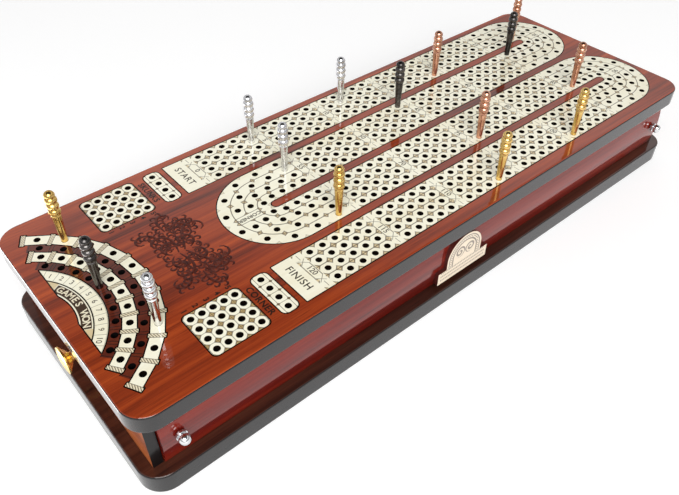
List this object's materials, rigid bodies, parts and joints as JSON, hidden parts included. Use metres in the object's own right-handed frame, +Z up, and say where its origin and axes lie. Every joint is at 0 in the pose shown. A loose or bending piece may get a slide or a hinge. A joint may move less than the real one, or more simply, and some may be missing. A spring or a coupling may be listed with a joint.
{
  "type": "cribbage board",
  "caption": "Long flat wooden cribbage board box with maple inlaid scoring tracks, metal pegs standing in its holes, a sliding card drawer in the front and a peg drawer in the left end.",
  "frame": {"origin": "middle of the base board's underside, on the surface it stands on", "axes": "+X along the board away from the games-won fan, -Y towards the card drawer's front, +Z up"},
  "size_m": [0.3665, 0.1346, 0.0778],
  "materials": {
    "base_board": "gloss lacquer",
    "base_screws": "polished",
    "left_end_wall": "gloss lacquer",
    "right_end_wall": "gloss lacquer",
    "rear_rail": "gloss lacquer",
    "bay_partition": "satin",
    "peg_bay_rail_front": "satin",
    "peg_bay_rail_back": "satin",
    "top_board": "gloss lacquer",
    "track_lane_start": "satin lacquer",
    "track_lane_second": "satin lacquer",
    "track_lane_third": "satin lacquer",
    "track_lane_finish": "satin lacquer",
    "track_bend_back": "satin lacquer",
    "track_bend_left": "satin lacquer",
    "track_bend_front": "satin lacquer",
    "skunks_counter": "satin lacquer",
    "skunks_strip": "satin lacquer",
    "corner_counter": "satin lacquer",
    "corner_strip": "satin lacquer",
    "games_arc_outer": "satin lacquer",
    "games_arc_inner": "satin lacquer",
    "games_number_ring": "satin lacquer",
    "games_title_plate": "satin lacquer",
    "card_drawer_front": "gloss lacquer",
    "nameplate": "satin lacquer",
    "card_drawer_left_side": "satin",
    "card_drawer_right_side": "satin",
    "card_drawer_back": "satin",
    "card_drawer_bottom": "satin",
    "card_drawer_dividers": "satin",
    "drawer_knob_left": "polished",
    "drawer_knob_right": "polished",
    "peg_drawer_front": "gloss lacquer",
    "peg_drawer_side_front": "satin",
    "peg_drawer_side_back": "satin",
    "peg_drawer_end": "satin",
    "peg_drawer_bottom": "satin",
    "peg_drawer_knob": "polished",
    "peg_gold_one": "polished",
    "peg_gold_two": "polished",
    "peg_gold_three": "polished",
    "peg_gold_four": "polished",
    "peg_silver_one": "polished",
    "peg_silver_two": "polished",
    "peg_silver_three": "polished",
    "peg_silver_four": "polished",
    "peg_black_one": "gloss black plated",
    "peg_black_two": "gloss black plated",
    "peg_black_three": "gloss black plated",
    "peg_copper_one": "polished copper",
    "peg_copper_two": "polished copper",
    "peg_copper_three": "polished copper",
    "peg_copper_four": "polished copper"
  },
  "bodies": {
    "board": {"base_board": "base_board", "base_screws": "base_screws", "left_end_wall": "left_end_wall", "right_end_wall": "right_end_wall", "rear_rail": "rear_rail", "bay_partition": "bay_partition", "peg_bay_rail_front": "peg_bay_rail_front", "peg_bay_rail_back": "peg_bay_rail_back", "top_board": "top_board", "track_lane_start": "track_lane_start", "track_lane_second": "track_lane_second", "track_lane_third": "track_lane_third", "track_lane_finish": "track_lane_finish", "track_bend_back": "track_bend_back", "track_bend_left": "track_bend_left", "track_bend_front": "track_bend_front", "skunks_counter": "skunks_counter", "skunks_strip": "skunks_strip", "corner_counter": "corner_counter", "corner_strip": "corner_strip", "games_arc_outer": "games_arc_outer", "games_arc_inner": "games_arc_inner", "games_number_ring": "games_number_ring", "games_title_plate": "games_title_plate"},
    "card_drawer": {"card_drawer_front": "card_drawer_front", "nameplate": "nameplate", "card_drawer_left_side": "card_drawer_left_side", "card_drawer_right_side": "card_drawer_right_side", "card_drawer_back": "card_drawer_back", "card_drawer_bottom": "card_drawer_bottom", "card_drawer_dividers": "card_drawer_dividers", "drawer_knob_left": "drawer_knob_left", "drawer_knob_right": "drawer_knob_right"},
    "peg_drawer": {"peg_drawer_front": "peg_drawer_front", "peg_drawer_side_front": "peg_drawer_side_front", "peg_drawer_side_back": "peg_drawer_side_back", "peg_drawer_end": "peg_drawer_end", "peg_drawer_bottom": "peg_drawer_bottom", "peg_drawer_knob": "peg_drawer_knob"},
    "gold_one_peg": {"peg_gold_one": "peg_gold_one"},
    "gold_two_peg": {"peg_gold_two": "peg_gold_two"},
    "gold_three_peg": {"peg_gold_three": "peg_gold_three"},
    "gold_four_peg": {"peg_gold_four": "peg_gold_four"},
    "silver_one_peg": {"peg_silver_one": "peg_silver_one"},
    "silver_two_peg": {"peg_silver_two": "peg_silver_two"},
    "silver_three_peg": {"peg_silver_three": "peg_silver_three"},
    "silver_four_peg": {"peg_silver_four": "peg_silver_four"},
    "black_one_peg": {"peg_black_one": "peg_black_one"},
    "black_two_peg": {"peg_black_two": "peg_black_two"},
    "black_three_peg": {"peg_black_three": "peg_black_three"},
    "copper_one_peg": {"peg_copper_one": "peg_copper_one"},
    "copper_two_peg": {"peg_copper_two": "peg_copper_two"},
    "copper_three_peg": {"peg_copper_three": "peg_copper_three"},
    "copper_four_peg": {"peg_copper_four": "peg_copper_four"}
  },
  "joints": [
    {"name": "card_drawer_slide", "type": "slide", "parent": "board", "child": "card_drawer", "axis": [0, -1, 0], "range_m": [0, 0.085]},
    {"name": "peg_drawer_slide", "type": "slide", "parent": "board", "child": "peg_drawer", "axis": [-1, 0, 0], "range_m": [0, 0.045]},
    {"name": "gold_one_lift", "type": "slide", "parent": "board", "child": "gold_one_peg", "axis": [0, 0, 1], "range_m": [0, 0.02]},
    {"name": "gold_two_lift", "type": "slide", "parent": "board", "child": "gold_two_peg", "axis": [0, 0, 1], "range_m": [0, 0.02]},
    {"name": "gold_three_lift", "type": "slide", "parent": "board", "child": "gold_three_peg", "axis": [0, 0, 1], "range_m": [0, 0.02]},
    {"name": "gold_four_lift", "type": "slide", "parent": "board", "child": "gold_four_peg", "axis": [0, 0, 1], "range_m": [0, 0.02]},
    {"name": "silver_one_lift", "type": "slide", "parent": "board", "child": "silver_one_peg", "axis": [0, 0, 1], "range_m": [0, 0.02]},
    {"name": "silver_two_lift", "type": "slide", "parent": "board", "child": "silver_two_peg", "axis": [0, 0, 1], "range_m": [0, 0.02]},
    {"name": "silver_three_lift", "type": "slide", "parent": "board", "child": "silver_three_peg", "axis": [0, 0, 1], "range_m": [0, 0.02]},
    {"name": "silver_four_lift", "type": "slide", "parent": "board", "child": "silver_four_peg", "axis": [0, 0, 1], "range_m": [0, 0.02]},
    {"name": "black_one_lift", "type": "slide", "parent": "board", "child": "black_one_peg", "axis": [0, 0, 1], "range_m": [0, 0.02]},
    {"name": "black_two_lift", "type": "slide", "parent": "board", "child": "black_two_peg", "axis": [0, 0, 1], "range_m": [0, 0.02]},
    {"name": "black_three_lift", "type": "slide", "parent": "board", "child": "black_three_peg", "axis": [0, 0, 1], "range_m": [0, 0.02]},
    {"name": "copper_one_lift", "type": "slide", "parent": "board", "child": "copper_one_peg", "axis": [0, 0, 1], "range_m": [0, 0.02]},
    {"name": "copper_two_lift", "type": "slide", "parent": "board", "child": "copper_two_peg", "axis": [0, 0, 1], "range_m": [0, 0.02]},
    {"name": "copper_three_lift", "type": "slide", "parent": "board", "child": "copper_three_peg", "axis": [0, 0, 1], "range_m": [0, 0.02]},
    {"name": "copper_four_lift", "type": "slide", "parent": "board", "child": "copper_four_peg", "axis": [0, 0, 1], "range_m": [0, 0.02]}
  ]
}
